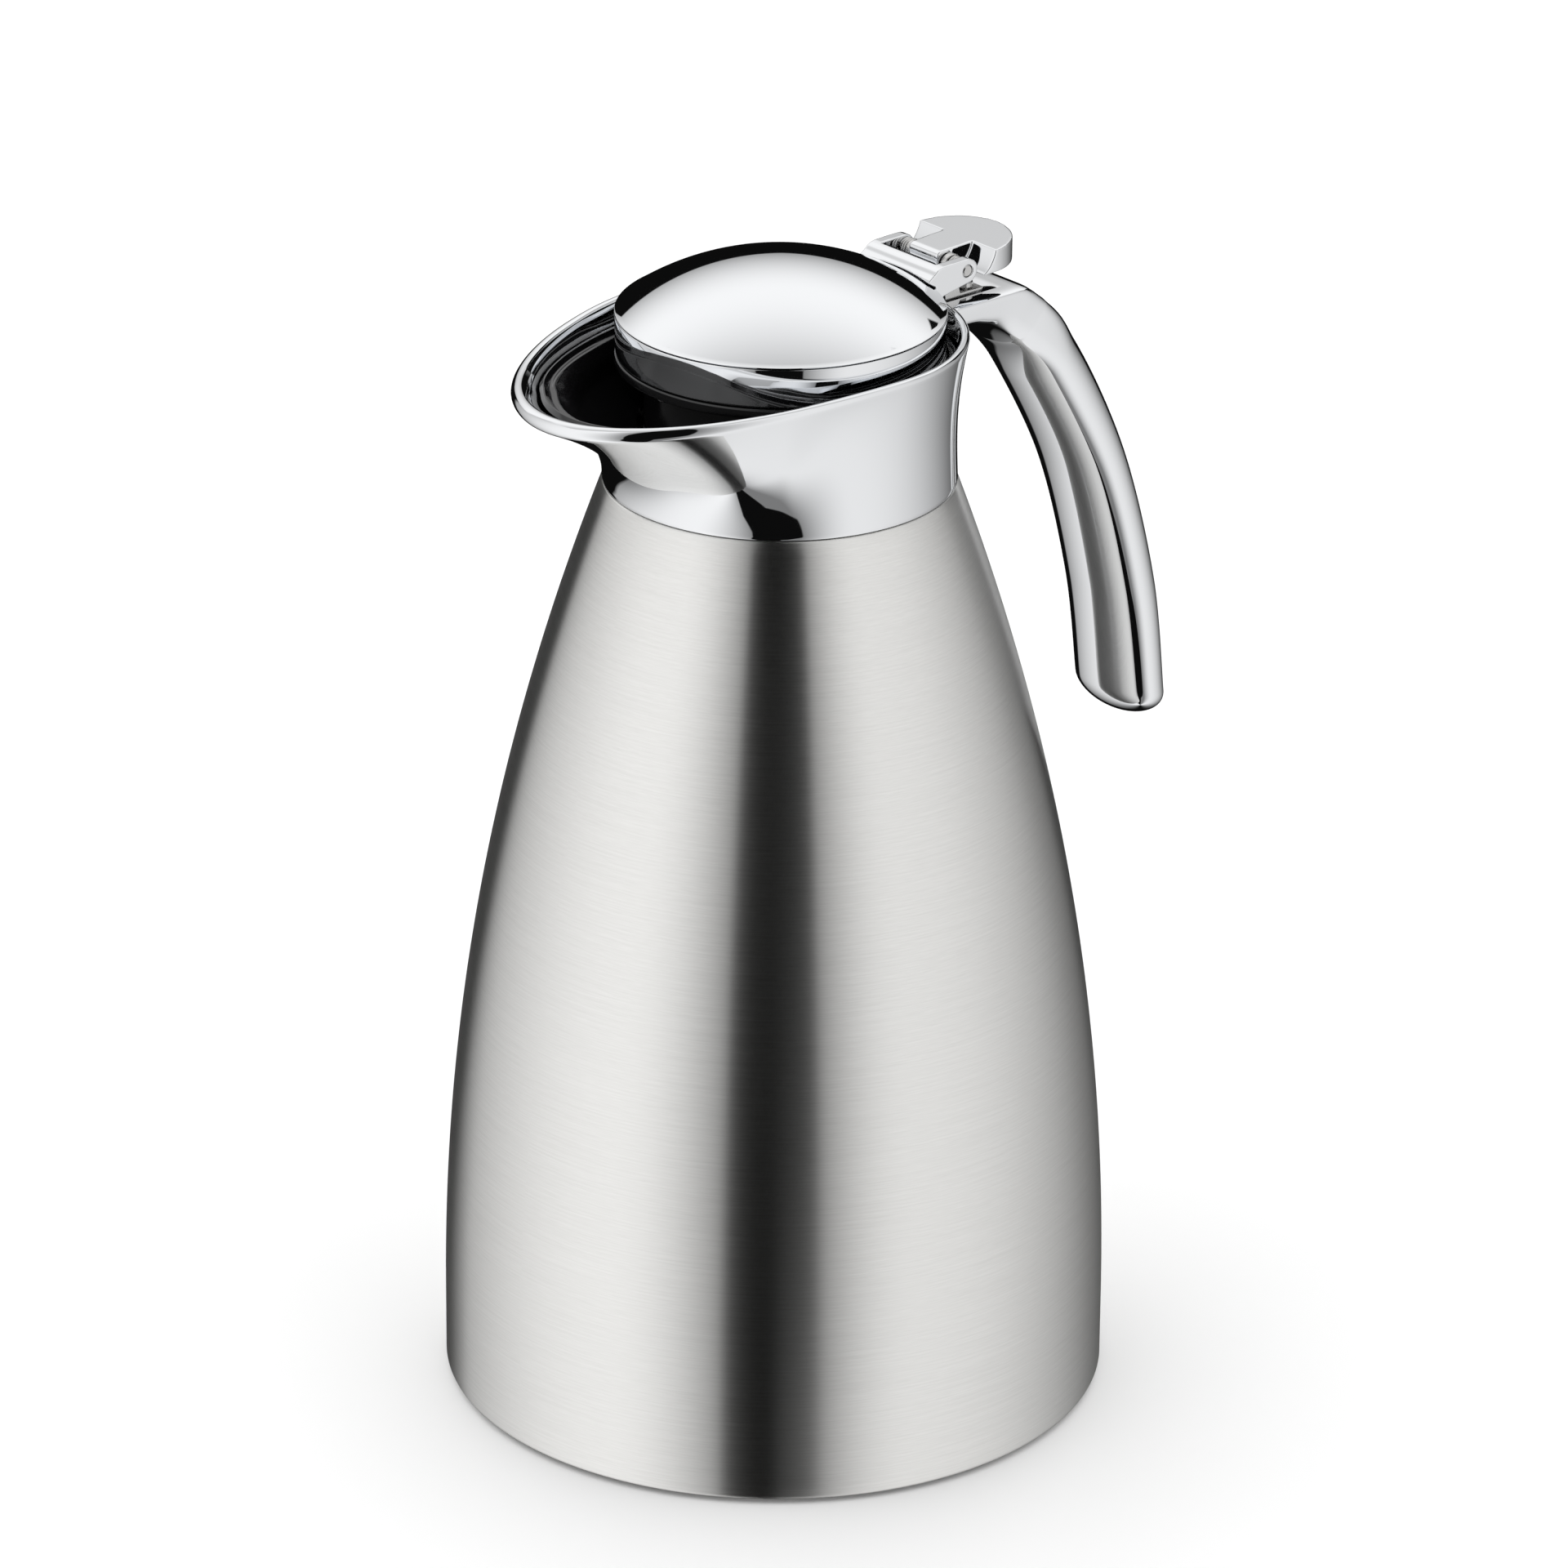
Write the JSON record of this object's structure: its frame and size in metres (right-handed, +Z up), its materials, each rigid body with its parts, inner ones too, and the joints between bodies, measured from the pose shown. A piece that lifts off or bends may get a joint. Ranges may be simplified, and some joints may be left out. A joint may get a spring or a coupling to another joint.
{
  "type": "vacuum coffee pot",
  "caption": "Tapering steel vacuum coffee pot with a chrome collar and pouring spout, a domed hinged lid, a thumb lever behind it and an open-ended chrome bar handle.",
  "frame": {"origin": "centre of the round foot pad's flat underside, on the body's axis at table height", "axes": "+Z up along the body's axis, +X towards the handle, -X towards the spout; the hinge pin lies along Y"},
  "size_m": [0.1682, 0.1352, 0.2399],
  "materials": {
    "brushed_steel": "fine horizontal brushing round the body, satin",
    "chrome": "mirror-polished chrome plate",
    "bright_steel": "plain turned steel",
    "black_plastic": "glossy black moulding",
    "silicone": "matt dark silicone",
    "silvered_glass": "silvered flask glass",
    "foam": "pale insulating foam"
  },
  "bodies": {
    "pot": {"base_cap": "black_plastic", "base_cushion": "silicone", "base_foot_pad": "silicone", "body_shell": "brushed_steel", "collar_liner": "black_plastic", "flask_inner_wall": "silvered_glass", "flask_outer_wall": "silvered_glass", "flask_spacer_1": "foam", "flask_spacer_2": "foam", "flask_spacer_3": "foam", "handle": "chrome", "handle_screw_left": "bright_steel", "handle_screw_right": "bright_steel", "hinge_block": "bright_steel", "hinge_block_screw_left": "bright_steel", "hinge_block_screw_right": "bright_steel", "hinge_pin": "bright_steel", "mouth_seal": "silicone", "return_spring_left": "bright_steel", "return_spring_right": "bright_steel", "shell_base_ring": "bright_steel", "spout_collar": "chrome"},
    "lever": {"thumb_lever": "chrome"},
    "lid": {"lid_band": "chrome", "lid_bracket": "chrome", "lid_dome": "chrome", "lid_insulation": "foam", "bracket_screw_left": "bright_steel", "bracket_screw_right": "bright_steel", "stopper_body": "black_plastic", "stopper_gasket": "silicone", "stopper_screw_1": "bright_steel", "stopper_screw_2": "bright_steel", "stopper_screw_3": "bright_steel"}
  },
  "joints": [
    {"name": "lever_press", "type": "hinge", "parent": "pot", "child": "lever", "pos_m": [0.04, 0, 0.2309], "axis": [0, 1, 0], "range_deg": [0, 18], "stiffness_Nm_per_rad": 0.08, "springref_deg": -22.92},
    {"name": "lid_flip", "type": "hinge", "parent": "lever", "child": "lid", "pos_m": [0.04, 0, 0.2309], "axis": [0, 1, 0], "range_deg": [0, 80]}
  ]
}
